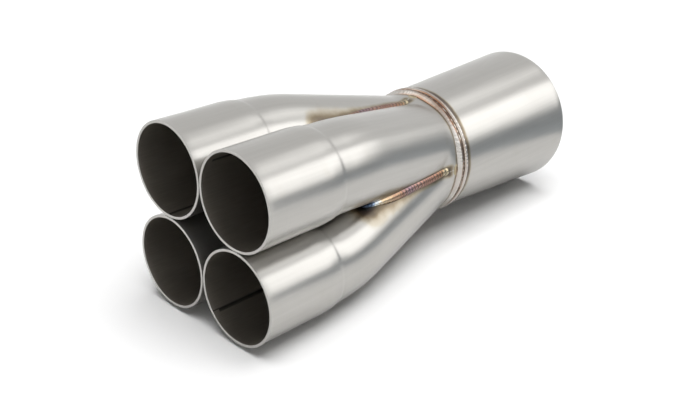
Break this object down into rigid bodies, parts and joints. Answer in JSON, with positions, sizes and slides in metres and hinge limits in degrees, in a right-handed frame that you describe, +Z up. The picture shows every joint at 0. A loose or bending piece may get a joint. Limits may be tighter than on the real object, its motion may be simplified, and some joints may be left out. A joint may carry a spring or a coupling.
{
  "type": "exhaust merge collector",
  "caption": "Welded stainless exhaust manifold collector: bent pipes with expanded sockets merge through mitred, TIG-welded seams into a diverging round outlet.",
  "frame": {"origin": "under the middle of the part, at the lowest point of the lower sockets", "axes": "+Y along the flow, from the four sockets to the outlet; +Z up; +X to the right seen from the sockets"},
  "size_m": [0.1084, 0.2734, 0.1085],
  "materials": {
    "runner_tube": "satin brushed",
    "outlet_tube": "satin brushed",
    "seam_bead": "rippled weld, heat tinted",
    "inner_bead": "rippled weld, dull",
    "ring_bead": "rippled weld, lightly tinted"
  },
  "bodies": {
    "root": {"runner_upper_right": "runner_tube", "runner_lower_right": "runner_tube", "runner_lower_left": "runner_tube", "runner_upper_left": "runner_tube", "outlet_cone": "outlet_tube", "seam_weld_top": "seam_bead", "seam_weld_right": "seam_bead", "seam_weld_bottom": "seam_bead", "seam_weld_left": "seam_bead", "tack_weld_top": "seam_bead", "tack_weld_right": "seam_bead", "tack_weld_bottom": "seam_bead", "tack_weld_left": "seam_bead", "spike_weld_top": "inner_bead", "spike_weld_right": "inner_bead", "spike_weld_bottom": "inner_bead", "spike_weld_left": "inner_bead", "spike_tip_weld": "inner_bead", "ring_weld_front_pass": "ring_bead", "ring_weld_rear_pass": "ring_bead"}
  },
  "joints": []
}
